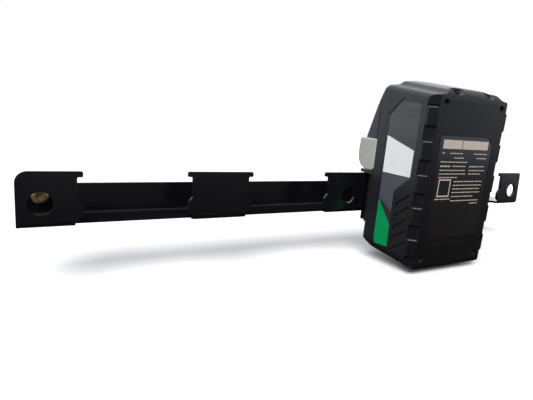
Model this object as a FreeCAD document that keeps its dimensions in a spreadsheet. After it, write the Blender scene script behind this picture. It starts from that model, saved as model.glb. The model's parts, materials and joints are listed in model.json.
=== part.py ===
# Wall rail of folded sheet steel with one slide-on battery pack hanging in its third bay.
#
# Rail frame, used while modelling (mm): X along the rail, 0 at its middle; Y = 0 on the wall,
# negative towards the room; Z = 0 on the underside of the rail's flange.
# Finished frame: the same axes, with the origin raised to the height of the screw holes.
#
# The pack is drawn upright in its own frame (x across the pack, same Y and Z as the rail), then
# placed in its bay leaning out. Front is towards the room (-Y), right is +X.
import FreeCAD, Part
import math
import os

import Sketcher
from FreeCAD import Placement, Rotation, Vector

doc = FreeCAD.newDocument("battery_rail")
sheet = doc.addObject("Spreadsheet::Sheet", "Sheet")
aliases = []
parts = {}  # finished pieces by name


class Quantity:
    """A number together with the spreadsheet expression that gives it."""

    def __init__(self, value, formula):
        self.value = float(value)
        self.formula = formula

    @staticmethod
    def of(number):
        if isinstance(number, Quantity):
            return number
        return Quantity(number, repr(float(number)))

    def joined(self, sign, other, value):
        return Quantity(value, "(%s %s %s)" % (self.formula, sign, other.formula))

    def __add__(self, other):
        other = Quantity.of(other)
        return self.joined("+", other, self.value + other.value)

    def __radd__(self, other):
        return Quantity.of(other) + self

    def __sub__(self, other):
        other = Quantity.of(other)
        return self.joined("-", other, self.value - other.value)

    def __rsub__(self, other):
        return Quantity.of(other) - self

    def __mul__(self, other):
        other = Quantity.of(other)
        return self.joined("*", other, self.value * other.value)

    def __rmul__(self, other):
        return Quantity.of(other) * self

    def __truediv__(self, other):
        other = Quantity.of(other)
        return self.joined("/", other, self.value / other.value)

    def __neg__(self):
        return Quantity(-self.value, "(-1 * %s)" % self.formula)


def dim(alias, value, note):
    """One driving dimension: a plain number in its own cell, with an alias."""
    aliases.append(alias)
    row = len(aliases)
    sheet.set("A%d" % row, "'" + alias.replace("_", " "))
    sheet.set("B%d" % row, str(value))
    sheet.setAlias("B%d" % row, alias)
    sheet.set("C%d" % row, "'" + note)
    return Quantity(value, "Sheet." + alias)


# ---------------------------------------------------------------- driving dimensions (mm)
# rail
sheet_t = dim("sheet_thickness", 2.0, "steel sheet")
bend_r = dim("bend_outer_radius", 3.0, "outside radius of both folds")
rail_depth = dim("rail_depth", 30.0, "wall face to tab front")
tab_top = dim("tab_top", 30.0, "tab top above the underside")
plate_top = dim("back_plate_top", 20.0, "back plate height")
bay_gap = dim("bay_gap", 58.4, "nub to nub across a bay")
tab_width = dim("tab_width", 43.8, "middle tabs, over the nubs")
end_tab_width = dim("end_tab_width", 32.1, "end tabs, over the nub")
nub_reach = dim("nub_reach", 3.0, "how far a nub stands past the recess")
nub_height = dim("nub_height", 3.2, "height of a nub")
shoulder_z = dim("shoulder_top", 14.5, "top of the slanted shoulder")
wide_top = dim("wide_top", 11.2, "top of the wide part")
wide_bottom = dim("wide_bottom", 6.2, "bottom of the wide part")
relief_z = dim("relief_height", 3.4, "top of the relief at a tab's foot")
flange_front = dim("flange_front", 22.5, "front edge of the flange in a bay, from the wall")
hole_z = dim("hole_height", 13.0, "screw holes above the underside")
hole_pitch = dim("hole_pitch", 203.2, "screw holes from the middle of the rail")
access_r = dim("access_hole_radius", 6.2, "driver access holes in the tabs")
screw_hole_r = dim("screw_hole_radius", 2.5, "screw holes in the back plate")
hang_angle = dim("hang_angle", 3.0, "lean of the pack in its bay, degrees")
# pack body
half_width = dim("pack_half_width", 39.0, "half the pack's width")
seam = dim("seam_depth", 47.6, "case seam, from the wall")
front = dim("front_depth", 85.5, "front face, from the wall")
back = dim("body_back_depth", 38.5, "back of the pack body, from the wall")
bottom = dim("pack_bottom", 25.2, "pack bottom below the rail's underside")
top = dim("pack_top", 99.2, "crown of the pack above the rail's underside, at the seam")
top_slope = dim("top_slope", 0.15, "fall of the crown towards the front, mm per mm")
bottom_slope = dim("bottom_slope", 0.085, "fall of the bottom towards the front, mm per mm")
wall = dim("shell_wall", 2.3, "moulded wall")
bevel = dim("front_bevel", 5.6, "bevel of the front shell's long edges")
grip_first_z = dim("grip_pad_first", -18.9, "foot of the lowest grip pad")
grip_height = dim("grip_pad_height", 12.6, "grip pad height")
grip_pitch = dim("grip_pad_pitch", 21.85, "between grip pads")
screw_x = dim("case_screw_x", 28.2, "case screws from the middle")
screw_top = dim("case_screw_top", 84.0, "upper case screws")
screw_bottom = dim("case_screw_bottom", 20.4, "lower case screws, below zero")
# hump and tower behind the pack body
hump_back = dim("hump_back_depth", 22.9, "back of the hump, from the wall")
hump_low = dim("hump_bottom", 30.1, "underside of the hump, rests on the tabs")
groove_front = dim("groove_front_depth", 31.1, "front wall of the slide groove")
groove_back = dim("groove_back_depth", 26.9, "front of the slide flange")
tower_back = dim("tower_back_depth", 24.0, "back of the tower")
stem_half = dim("stem_half_width", 28.7, "half width of the tower stem")
flange_half = dim("slide_flange_half_width", 31.6, "half width over the slide flanges")
plinth_half = dim("plinth_half_width", 35.0, "half width of the plinth in front of the tabs")
tower_low = dim("tower_bottom", 7.6, "tower end below the rail's underside")
# cells
cell_r = dim("cell_radius", 9.2, "cell radius")
cell_length = dim("cell_length", 65.0, "cell length")
layer_pitch = dim("cell_row_pitch", 19.2, "between the two layers")
column_pitch = dim("cell_column_pitch", 19.3, "between columns")
cells_y = dim("cells_depth", 62.6, "middle of the cell block from the wall")
cells_z = dim("cells_height", 31.2, "middle of the cell block")

# ---------------------------------------------------------------- placements
bay_pitch = bay_gap + tab_width
tab_middle_y = rail_depth - sheet_t / 2
tab_middle_z = tab_top / 2
RAIL = Placement(Vector(0, 0, -hole_z.value), Rotation())
# the pack leans about the middle of the tab sheet, in the first bay right of the middle
PACK = Placement(
    Vector((bay_pitch / 2).value, 0, -hole_z.value),
    Rotation(Vector(1, 0, 0), hang_angle.value),
    Vector(0, -tab_middle_y.value, tab_middle_z.value),
)
SIDES = ((1, "right"), (-1, "left"))


# ---------------------------------------------------------------- outlines
def rectangle(x0, x1, y0, y1):
    return [(x0, y0), (x1, y0), (x1, y1), (x0, y1)]


def on_side(points, side):
    """An outline drawn for the +x side, mirrored in x when side is -1."""
    if side > 0:
        return points
    return [(-1 * x, y) for x, y in reversed(points)]


def both_sides(points):
    return [on_side(points, 1), on_side(points, -1)]


def symmetric(half, middle=()):
    """One outline: the +x half, the points on the centre line, then the mirrored half."""
    return half + list(middle) + on_side(half, -1)


def inset(points, distance):
    """A counterclockwise outline drawn further in, corner by corner."""
    plain = [(Quantity.of(x).value, Quantity.of(y).value) for x, y in points]

    def inward(start, end):
        length = math.hypot(end[0] - start[0], end[1] - start[1])
        return -(end[1] - start[1]) / length, (end[0] - start[0]) / length

    moved = []
    for i, (x, y) in enumerate(points):
        before = inward(plain[i - 1], plain[i])
        after = inward(plain[i], plain[(i + 1) % len(plain)])
        scale = distance / (1.0 + before[0] * after[0] + before[1] * after[1])
        shift_x = round((before[0] + after[0]) * scale, 5)
        shift_y = round((before[1] + after[1]) * scale, 5)
        moved.append((x + shift_x, y + shift_y))
    return moved


# ---------------------------------------------------------------- document helpers
def express(obj, path, quantity):
    """Bind a property path to the sheet if the quantity depends on it."""
    if "Sheet." in quantity.formula:
        obj.setExpression(path, quantity.formula)


def bind(obj, prop, size):
    size = Quantity.of(size)
    setattr(obj, prop, size.value)
    express(obj, prop, size)


def origin_feature(body, role):
    return [item for item in body.Origin.OriginFeatures if item.Role == role][0]


def new_body(label):
    body = doc.addObject("PartDesign::Body", label)
    body.Label = label
    return body


def pin(sk, geometry, point, x, y):
    """Fix one point of a sketch; a zero coordinate puts the point on the axis."""
    for kind, axis, place in (("DistanceX", -2, x), ("DistanceY", -1, y)):
        if abs(place.value) < 1e-9:
            sk.addConstraint(Sketcher.Constraint("PointOnObject", geometry, point, axis))
            continue
        constraint = Sketcher.Constraint(kind, -1, 1, geometry, point, place.value)
        index = sk.addConstraint(constraint)
        express(sk, "Constraints[%d]" % index, place)


def sketch(body, name, plane, loops=(), circles=(), offset=0.0):
    """Closed polygons (x, y) and circles (x, y, radius), set off along the plane's normal."""
    sk = body.newObject("Sketcher::SketchObject", name)
    sk.AttachmentSupport = [(origin_feature(body, plane), "")]
    sk.MapMode = "FlatFace"
    offset = Quantity.of(offset)
    sk.AttachmentOffset = Placement(Vector(0, 0, offset.value), Rotation())
    express(sk, "AttachmentOffset.Base.z", offset)
    for points in loops:
        points = [(Quantity.of(x), Quantity.of(y)) for x, y in points]
        corners = [Vector(x.value, y.value, 0) for x, y in points]
        count = len(points)
        first = sk.GeometryCount
        for i in range(count):
            sk.addGeometry(Part.LineSegment(corners[i], corners[(i + 1) % count]))
        for i in range(count):
            following = first + (i + 1) % count
            sk.addConstraint(Sketcher.Constraint("Coincident", first + i, 2, following, 1))
        for i, (x, y) in enumerate(points):
            pin(sk, first + i, 1, x, y)
    for circle in circles:
        x, y, radius = [Quantity.of(number) for number in circle]
        centre = Vector(x.value, y.value, 0)
        geometry = sk.addGeometry(Part.Circle(centre, Vector(0, 0, 1), radius.value))
        index = sk.addConstraint(Sketcher.Constraint("Radius", geometry, radius.value))
        express(sk, "Constraints[%d]" % index, radius)
        pin(sk, geometry, 3, x, y)
    return sk


def extrude(kind, body, name, sketch_name, plane, length,
            midplane=False, reverse=False, direction=None, **drawing):
    """A sketch and the pad or pocket made from it.

    The normals are XY: +Z, XZ: -Y (towards the front), YZ: +X. A pad grows along the normal
    and a pocket cuts against it; reverse turns either round.
    """
    sk = sketch(body, sketch_name, plane, **drawing)
    feature = body.newObject("PartDesign::" + kind, name)
    feature.Profile = sk
    if direction is not None:
        feature.UseCustomVector = True
        feature.Direction = direction
        feature.AlongSketchNormal = False
    bind(feature, "Length", length)
    feature.Midplane = midplane
    feature.Reversed = reverse
    doc.recompute()
    if feature.Shape.isNull():
        raise RuntimeError("%s has no shape: %s" % (name, feature.State))
    return feature


def pad(*args, **options):
    return extrude("Pad", *args, **options)


def pocket(*args, **options):
    return extrude("Pocket", *args, **options)


def near(actual, wanted):
    return abs(actual - Quantity.of(wanted).value) < 1e-6


def straight(edge):
    return edge.Curve.TypeId == "Part::GeomLine"


def along(edge, axis):
    return straight(edge) and near(abs(getattr(edge.Curve.Direction, axis)), 1)


def fillet(body, name, base, radius, test):
    """Round the edges of base for which test(edge, its middle point) holds."""
    names = []
    for i, edge in enumerate(base.Shape.Edges):
        middle = edge.valueAt((edge.FirstParameter + edge.LastParameter) / 2.0)
        if test(edge, middle):
            names.append("Edge%d" % (i + 1))
    if not names:
        raise RuntimeError("%s found no edge" % name)
    feature = body.newObject("PartDesign::Fillet", name)
    feature.Base = (base, names)
    bind(feature, "Radius", radius)
    doc.recompute()
    if feature.Shape.isNull() or "Invalid" in feature.State:
        raise RuntimeError("%s has no shape" % name)
    return feature


def set_base(obj, corner, rotation):
    """Place an object, its coordinates bound to the sheet."""
    corner = [Quantity.of(number) for number in corner]
    obj.Placement = Placement(Vector(*[number.value for number in corner]), rotation)
    for axis, number in zip("xyz", corner):
        express(obj, "Placement.Base." + axis, number)


def new_box(label, x0, x1, y0, y1, z0, z1):
    box = doc.addObject("Part::Box", label)
    for prop, low, high in (("Length", x0, x1), ("Width", y0, y1), ("Height", z0, z1)):
        bind(box, prop, Quantity.of(high) - low)
    set_base(box, (x0, y0, z0), Rotation())
    return box


def new_cylinder(label, start, direction, radius, length):
    cylinder = doc.addObject("Part::Cylinder", label)
    bind(cylinder, "Radius", radius)
    bind(cylinder, "Height", length)
    set_base(cylinder, start, Rotation(Vector(0, 0, 1), direction))
    return cylinder


def fuse(label, shapes):
    fusion = doc.addObject("Part::MultiFuse", label)
    fusion.Shapes = shapes
    return fusion


def compound(label, shapes):
    group = doc.addObject("Part::Compound", label)
    group.Links = shapes
    return group


def finish(label, obj, place=PACK):
    """Name a piece and put it in its place in the assembly."""
    doc.recompute()
    if obj.TypeId in ("Part::Box", "Part::Cylinder"):
        # its own placement is bound to the sheet, so a compound carries the assembly placement
        obj.Label = label + "_blank"
        obj = compound(label, [obj])
        doc.recompute()
    obj.Label = label
    obj.Placement = place.multiply(obj.Placement)
    parts[label] = obj


def finish_body(body, tip, place=PACK):
    body.Tip = tip
    finish(body.Label, body, place)


def box_piece(label, *limits):
    finish(label, new_box(label, *limits))


# ================================================================ rail
def bay_outline(centre_x):
    """The opening between two tabs, symmetric about centre_x (x, z)."""
    edge = bay_gap / 2
    recess = edge + nub_reach
    half = [
        (edge, 1.0 + tab_top),
        (edge, tab_top - nub_height),
        (recess, tab_top - nub_height),
        (recess, shoulder_z),
        (edge + 0.4, wide_top),
        (edge, wide_top - 0.8),
        (edge, wide_bottom),
        (edge + 0.5, wide_bottom - 1.2),
        (recess - 0.6, relief_z),
        (recess + 1.2, relief_z - 1.0),
        (recess + 1.2, -1.0),
    ]
    return [(centre_x + x, z) for x, z in symmetric(half)]


def make_rail():
    rail = new_body("rail_channel")
    half_length = bay_gap * 2 + tab_width * 1.5 + end_tab_width
    # U-shaped section (y, z): front wall, flange and back plate
    section = [
        (-rail_depth, 0),
        (0, 0),
        (0, plate_top),
        (-sheet_t, plate_top),
        (-sheet_t, sheet_t),
        (-rail_depth + sheet_t, sheet_t),
        (-rail_depth + sheet_t, tab_top),
        (-rail_depth, tab_top),
    ]
    tip = pad(rail, "rail_pad", "rail_section", "YZ_Plane", half_length * 2,
              loops=[section], midplane=True)

    def fold_edges(z, plate_y, tab_y):
        return lambda edge, mid: (
            along(edge, "x") and near(mid.z, z) and (near(mid.y, plate_y) or near(mid.y, tab_y))
        )

    tip = fillet(rail, "outer_bends", tip, bend_r, fold_edges(0, 0, -rail_depth))
    tip = fillet(rail, "inner_bends", tip, bend_r - sheet_t,
                 fold_edges(sheet_t, -sheet_t, -rail_depth + sheet_t))

    # four bays leave five tabs
    bays = [bay_outline(bay_pitch * k) for k in (-1.5, -0.5, 0.5, 1.5)]
    tip = pocket(rail, "bays", "bay_cut", "XZ_Plane", 12.0,
                 loops=bays, offset=flange_front, reverse=True)

    # access holes in the end and middle tabs; screw holes only behind the two end ones
    access = [(x, hole_z, access_r) for x in (-hole_pitch, 0.0, hole_pitch)]
    tip = pocket(rail, "access_holes", "access_holes_sketch", "XZ_Plane", 12.0,
                 circles=access, offset=rail_depth - 8.0, reverse=True)
    holes = [(x, hole_z, screw_hole_r) for x in (-hole_pitch, hole_pitch)]
    tip = pocket(rail, "screw_holes", "screw_holes_sketch", "XZ_Plane", 6.0,
                 circles=holes, offset=-1.0, reverse=True)

    def on_tab(edge, mid, z):
        in_tab = mid.y < (sheet_t - rail_depth).value
        return along(edge, "y") and in_tab and near(mid.z, z)

    for name, end_x, radius in (
        ("left_corner", -half_length, 6.0),
        ("right_corner", half_length, 2.6),
    ):
        tip = fillet(rail, name, tip, radius,
                     lambda edge, mid: on_tab(edge, mid, tab_top) and near(mid.x, end_x))
    tip = fillet(
        rail, "plate_corners", tip, 4.0,
        lambda edge, mid: along(edge, "y") and mid.y > -sheet_t.value
        and near(mid.z, plate_top) and near(abs(mid.x), half_length),
    )
    # the end corners are already rounded, so edges close to the rail's ends are left out
    tip = fillet(
        rail, "nub_corners_top", tip, 1.0,
        lambda edge, mid: on_tab(edge, mid, tab_top)
        and abs(abs(mid.x) - half_length.value) > 8,
    )
    tip = fillet(rail, "nub_corners_low", tip, 0.8,
                 lambda edge, mid: on_tab(edge, mid, tab_top - nub_height))
    finish_body(rail, tip, RAIL)


# ================================================================ mounting screw
def make_mounting_screw():
    """Pan-type head on the back plate at the left hole, ring-shaped thread into the wall."""
    head_r, head_height = 4.7, 3.0
    shank_r, core_r = 2.1, 1.45
    plain_length, screw_length = 3.6, 32.0
    ring_pitch, ring_count = 2.0, 11
    screw = new_body("mounting_screw")
    # turned profile: radius, distance from the head's face towards the wall
    profile = [
        (0.0, 0.0),
        (3.2, 0.0),
        (head_r - 0.35, 0.75),
        (head_r, 1.35),
        (head_r, head_height - 0.35),
        (head_r - 0.4, head_height),
        (shank_r, head_height),
        (shank_r, head_height + plain_length),
    ]
    y = head_height + plain_length
    for _ in range(ring_count):
        profile += [(core_r, y + 0.5), (core_r, y + 1.3), (shank_r, y + 1.85)]
        y += ring_pitch
        profile.append((shank_r, y))
    profile += [(core_r, y + 0.4), (0.0, screw_length)]
    sk = sketch(screw, "screw_profile", "XY_Plane", [profile])
    turned = screw.newObject("PartDesign::Revolution", "screw_turned")
    turned.Profile = sk
    turned.ReferenceAxis = (sk, ["V_Axis"])
    turned.Angle = 360.0
    doc.recompute()
    # six-pointed star socket, 1.9 deep
    star = []
    for i in range(12):
        angle = math.radians(30 * i)
        radius = 2.6 if i % 2 == 0 else 1.8
        star.append((radius * math.cos(angle), radius * math.sin(angle)))
    tip = pocket(screw, "star_recess", "star_sketch", "XZ_Plane", 2.9, loops=[star], offset=1.0)
    screw.Placement = Placement(
        Vector(-hole_pitch.value, -sheet_t.value - head_height, hole_z.value), Rotation()
    )
    finish_body(screw, tip, RAIL)


# ================================================================ shared by both case shells
inner_half = half_width - wall
shell_overcut = half_width + 3  # the end cutters reach past the sides

# Air above the pack at the seam (x, z): raised crown between two shoulders.
top_air = symmetric(
    [
        (shell_overcut, top + 14),
        (shell_overcut, top - 7.2),
        (half_width, top - 7.2),
        (36.3, top - 5.3),
        (27.6, top - 4.1),
        (24.8, top - 1.6),
        (15.0, top - 0.4),
    ],
    middle=[(0.0, top)],
)
# Air below the pack at the seam (x, z).
bottom_air = symmetric(
    [
        (shell_overcut, -14 - bottom),
        (shell_overcut, 6.4 - bottom),
        (half_width, 6.4 - bottom),
        (36.8, 2.4 - bottom),
        (33.0, 0.3 - bottom),
    ],
    middle=[(0.0, -bottom)],
)
# Side label recess (y, z), counterclockwise.
side_label_outline = [
    (-seam - 1.6, 73.8),
    (-59.4, 83.9),
    (-75.4, 82.5),
    (-76.4, 33.0),
    (-63.0, 22.6),
    (-63.7, -17.9),
    (-51.0, -18.8),
    (-seam - 1.6, -15.0),
]
side_recess = 0.5  # depth of the side label recess
case_screws = [(side * screw_x, z) for side in (1, -1) for z in (screw_top, -screw_bottom)]


def at_case_screws(radius):
    return [(x, z, radius) for x, z in case_screws]


def shape_ends(body, prefix, length, towards):
    """Cut the crown and the foot, sloping away from the seam; towards is the sign along Y."""
    pocket(body, prefix + "_crown", prefix + "_top_sketch", "XZ_Plane", length, loops=[top_air],
           offset=seam, direction=Vector(0, towards, towards * top_slope.value))
    pocket(body, prefix + "_foot", prefix + "_foot_sketch", "XZ_Plane", length,
           loops=[bottom_air], offset=seam,
           direction=Vector(0, towards, towards * bottom_slope.value))


# ================================================================ lower case (front shell)
def make_lower_case():
    case = new_body("lower_case")
    # side profile (y, z): sloping crown and bottom, rounded over to the front face
    side_profile = [
        (-seam, -bottom - 0.3),
        (-seam, top + 0.4),
        (-front + 5.8, top + 0.4 - (front - seam - 5.8) * top_slope),
        (-front + 3.0, top - 6.7),
        (-front + 1.0, top - 9.2),
        (-front, top - 11.6),
        (-front, -bottom + 1.2),
        (-front + 0.9, -bottom - 1.4),
        (-front + 3.2, -bottom - (front - seam) * bottom_slope - 0.2),
    ]
    pad(case, "lower_block", "lower_side", "YZ_Plane", half_width * 2,
        loops=[side_profile], midplane=True)
    shape_ends(case, "lower", 60.0, -1)
    # bevels along the long front edges (x, y)
    bevel_cut = [
        (half_width - bevel, -front),
        (half_width - bevel + 1, -front - 1),
        (half_width + 1, -front - 1),
        (half_width + 1, -front + bevel - 1),
        (half_width, -front + bevel),
    ]
    pocket(case, "lower_bevels", "lower_bevel_sketch", "XY_Plane", bottom + top + 16.0,
           loops=both_sides(bevel_cut), offset=-bottom - 8.0, reverse=True)

    # hollow, open at the seam (x, z)
    low, high = -bottom + wall, top - 13.2
    cavity = symmetric([
        (inner_half - 5.4, low),
        (inner_half, low + 5.2),
        (inner_half, high - 2.0),
        (inner_half - 2.2, high),
    ])
    pocket(case, "lower_cavity", "lower_cavity_sketch", "XZ_Plane", front - seam - wall - 0.1,
           loops=[cavity], offset=seam, reverse=True)
    pad(case, "screw_bosses", "boss_sketch", "XZ_Plane", front - seam - 1.2 - wall,
        circles=at_case_screws(3.1), offset=seam + 1.0)
    # fill the cavity's front corners behind the bevels (x, y)
    floor_y = -front + wall + 0.05
    corner = [
        (inner_half - 3.4, floor_y),
        (inner_half + 0.3, floor_y),
        (inner_half + 0.3, floor_y + 3.7),
    ]
    pad(case, "inner_bevels", "inner_bevel_sketch", "XY_Plane", high - low - 3.0,
        loops=both_sides(corner), offset=low + 2.0)
    pocket(case, "screw_clear", "screw_clear_sketch", "XZ_Plane", 60.0,
           circles=at_case_screws(1.65), offset=seam - 1.0, reverse=True)
    pocket(case, "screw_counterbores", "screw_bore_sketch", "XZ_Plane", 6.0,
           circles=at_case_screws(2.3), offset=front + 1.0)

    # rating label recess in the front face (x, z)
    rating_recess = [(-27.8, -5.6), (25.8, -5.6), (25.8, 58.0), (20.2, 63.7), (-27.8, 63.7)]
    pocket(case, "rating_recess", "rating_recess_sketch", "XZ_Plane", 0.7,
           loops=[rating_recess], offset=front + 0.2)
    for side, name in SIDES:
        pocket(case, "label_recess_" + name, "label_recess_sketch_" + name, "YZ_Plane", 3.0,
               loops=[side_label_outline], offset=(half_width - side_recess) * side,
               reverse=(side > 0))
    # five slanted grooves in front of each side label's narrow foot (y, z)
    grooves = []
    for k in range(5):
        z = 16.5 - 8.2 * k
        grooves.append([(-77.0, z + 6.5), (-77.0, z + 4.9), (-66.5, z - 3.3), (-66.5, z - 1.7)])
    for side, name in SIDES:
        pocket(case, "side_grooves_" + name, "side_groove_sketch_" + name, "YZ_Plane", 3.0,
               loops=grooves, offset=(half_width - 0.6) * side, reverse=(side > 0))
    # scooped notches over the front edge of both ends
    notches = [(side * 16.4, top - 4.0, 6.2) for side in (1, -1)]
    notches += [(side * 20.0, -bottom - 5.2, 3.6) for side in (1, -1)]
    pocket(case, "end_notches", "notch_sketch", "XZ_Plane", 8.0,
           circles=notches, offset=front + 1.0)

    # grip pads standing on the bevels (x, y), one column on each side
    grip = [
        (half_width - bevel + 0.2, -front + 0.01),
        (half_width - 0.01, -front + bevel - 0.2),
        (half_width - 0.01, -front + bevel - 1.6),
        (half_width - bevel + 1.6, -front + 0.01),
    ]
    grip_count = 5
    for side, name in SIDES:
        first = pad(case, "grip_pad_" + name, "grip_sketch_" + name, "XY_Plane", grip_height,
                    loops=[on_side(grip, side)], offset=grip_first_z)
        column = case.newObject("PartDesign::LinearPattern", "grip_pads_" + name)
        column.Originals = [first]
        column.Direction = (origin_feature(case, "Z_Axis"), [""])
        bind(column, "Length", grip_pitch * (grip_count - 1))
        column.Occurrences = grip_count
        case.Tip = column
        doc.recompute()
    finish_body(case, column)


# ================================================================ shared by tower and terminals
slot_x = [7.0 * k for k in (-2, -1, 0, 1, 2)]  # middles of the terminal slots
# latch spring: its axis, and the two faces it stands between, from the middle of the pack
spring_y, spring_z = -30.6, 47.5
seat_inner, seat_outer = 15.0, 17.0
button_inner = 31.4


# ================================================================ upper case (back shell)
def make_upper_case():
    case = new_body("upper_case")
    thin_wall = 2.2  # hump and tower
    cavity_back = -back - wall - 0.5
    tower_height = hump_low + tower_low
    # body slab behind the seam (y, z)
    slab = [
        (-seam, -bottom - 0.3),
        (-back - 5.4, -bottom + 2.8),
        (-back, -bottom + 7.2),
        (-back, top - 15.0),
        (-back - 7.4, top + 1.0),
        (-seam, top + 1.0),
    ]
    pad(case, "upper_slab", "upper_side", "YZ_Plane", half_width * 2,
        loops=[slab], midplane=True)
    # hump with the ramp above it (y, z)
    hump = [
        (-back - 1.0, hump_low),
        (-hump_back, hump_low),
        (-hump_back, 53.2),
        (-25.6, 57.6),
        (-34.9, 80.4),
        (-39.0, 88.0),
        (-46.0, 97.6),
        (-46.0, hump_low),
    ]
    pad(case, "hump", "hump_side", "YZ_Plane", half_width * 2 - 1.0,
        loops=[hump], midplane=True)
    shape_ends(case, "upper", 40.0, 1)
    # sides of the hump draw in towards the back (x, y)
    draft = [
        (half_width + 1, -back - 0.6),
        (half_width - 0.5, -back - 0.6),
        (half_width - 3.4, -hump_back + 0.5),
        (half_width + 1, -hump_back + 0.5),
    ]
    pocket(case, "hump_draft", "hump_draft_sketch", "XY_Plane", 80.0,
           loops=both_sides(draft), offset=hump_low - 1.0, reverse=True)
    # plinth in front of the tabs, stem and slide flanges behind them (x, y)
    plinth = rectangle(-plinth_half, plinth_half, -back - 1.0, -groove_front)
    pad(case, "plinth", "plinth_sketch", "XY_Plane", tower_height + 1.0,
        loops=[plinth], offset=-tower_low)
    tower = symmetric([
        (stem_half, -back),
        (stem_half, -groove_back),
        (flange_half, -groove_back),
        (flange_half, -tower_back),
    ])
    pad(case, "tower", "tower_sketch", "XY_Plane", tower_height + 1.0,
        loops=[tower], offset=-tower_low)

    # body cavity, open at the seam (x, z)
    low, high = -bottom + wall + 3.0, top - 15.6
    body_cavity = symmetric([
        (inner_half - 4.0, low),
        (inner_half, low + 4.0),
        (inner_half, high - 4.0),
        (inner_half - 3.0, high),
    ])
    pocket(case, "upper_cavity", "upper_cavity_sketch", "XZ_Plane", seam - back - wall,
           loops=[body_cavity], offset=seam)
    # hump cavity (y, z)
    inside_half = stem_half - thin_wall
    hump_cavity = [
        (cavity_back, hump_low + thin_wall),
        (-hump_back - thin_wall, hump_low + thin_wall),
        (-hump_back - thin_wall, 52.2),
        (-29.3, 56.8),
        (-38.6, 79.0),
        (cavity_back, 79.0),
    ]
    pocket(case, "hump_cavity", "hump_cavity_sketch", "YZ_Plane", inside_half * 2,
           loops=[hump_cavity], midplane=True)
    # tower cavity, running up into the hump (x, y)
    tower_cavity = rectangle(-inside_half, inside_half, cavity_back, -tower_back - thin_wall)
    pocket(case, "tower_cavity", "tower_cavity_sketch", "XY_Plane", tower_height + 2.0,
           loops=[tower_cavity], offset=-tower_low + thin_wall, reverse=True)

    # latch openings: name, sketch, outline (y, z), inner end from the middle, depth outwards
    latch_openings = (
        # pocket for the button in the hump's side
        ("latch_pocket_", "latch_pocket_sketch_", (-40.0, -20.0, 32.5, 56.6), 28.0, 14.0),
        # slot between the button's pocket and the hump's inside for the arm
        ("latch_arm_slot_", "latch_arm_sketch_", (-35.0, -26.0, 35.0, 54.0), 20.0, 10.0),
        # window for the hook in the stem's side
        ("hook_window_", "hook_window_sketch_", (-31.0, -27.0, 16.0, 26.4), 24.0, 5.5),
    )
    for side, name in SIDES:
        for prefix, sketch_prefix, limits, start, depth in latch_openings:
            pocket(case, prefix + name, sketch_prefix + name, "YZ_Plane", depth,
                   loops=[rectangle(*limits)], offset=start * side, reverse=(side > 0))
    # terminal slots, open at the tower's lower end and back (x, z)
    slots = [rectangle(x - 1.1, x + 1.1, -9.0, 12.0) for x in slot_x]
    pocket(case, "terminal_slots", "slot_sketch", "XZ_Plane", 8.5,
           loops=slots, offset=tower_back - 1.0, reverse=True)
    # bosses that take the case screws
    pad(case, "upper_bosses", "upper_boss_sketch", "XZ_Plane", seam - back - 1.1,
        circles=at_case_screws(3.1), offset=back + 1.0)
    pocket(case, "upper_screw_holes", "upper_thread_sketch", "XZ_Plane", 8.2,
           circles=at_case_screws(1.25), offset=seam + 1.0)
    # seats for the latch springs inside the hump (x, y)
    seat = rectangle(seat_inner, seat_outer, -36.3, -24.6)
    for side, name in SIDES:
        tip = pad(case, "spring_seat_" + name, "spring_seat_sketch_" + name, "XY_Plane", 10.0,
                  loops=[on_side(seat, side)], offset=41.0)
    finish_body(case, tip)


# ================================================================ latches and their springs
def make_latch(side, name):
    latch = new_body("latch_" + name)
    button_top = 56.3
    # button block (y, z)
    button = [
        (-39.7, 35.2), (-37.4, 32.8), (-30.4, 32.8), (-24.6, 35.4), (-21.6, 39.4),
        (-20.7, 44.0), (-20.8, 50.5), (-21.6, button_top), (-39.7, button_top),
    ]
    pad(latch, "button_" + name, "button_side_" + name, "YZ_Plane", 8.0,
        loops=[button], offset=button_inner * side, reverse=(side < 0))
    # the outer face draws in towards the back (x, y)
    draft = [(41.0, -41.0), (39.3, -41.0), (38.7, -20.0), (41.0, -20.0)]
    pocket(latch, "button_draft_" + name, "button_draft_sketch_" + name, "XY_Plane", 30.0,
           loops=[on_side(draft, side)], offset=30.0, reverse=True)
    # arm going in, leg down the inside of the stem, and the hook on it (x, z)
    strip_back, strip_depth = 27.4, 3.2
    leg_inner, leg_low = 23.2, 17.0
    arm_outer, arm_top = 31.6, 42.0
    hook = [(25.9, leg_low), (27.2, leg_low), (29.1, 21.5), (29.1, 25.6), (25.9, 25.6)]
    for prefix, outline in (
        ("arm_", rectangle(leg_inner, arm_outer, 37.0, arm_top)),
        ("leg_", rectangle(leg_inner, 26.0, leg_low, arm_top)),
        ("hook_", hook),
    ):
        pad(latch, prefix + name, prefix + "sketch_" + name, "XZ_Plane", strip_depth,
            loops=[on_side(outline, side)], offset=strip_back)
    # spigot that carries the spring, pointing inwards
    tip = pad(latch, "spigot_" + name, "spigot_sketch_" + name, "YZ_Plane", 4.5,
              circles=[(spring_y, spring_z, 1.7)], offset=side * arm_outer,
              reverse=(side > 0))
    # only the long outer edge of the button's top
    tip = fillet(
        latch, "button_top_edge_" + name, tip, 0.9,
        lambda edge, mid: straight(edge) and side * mid.x > 34.0
        and abs(mid.z - button_top) < 1e-3 and edge.Length > 10,
    )
    finish_body(latch, tip)


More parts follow.
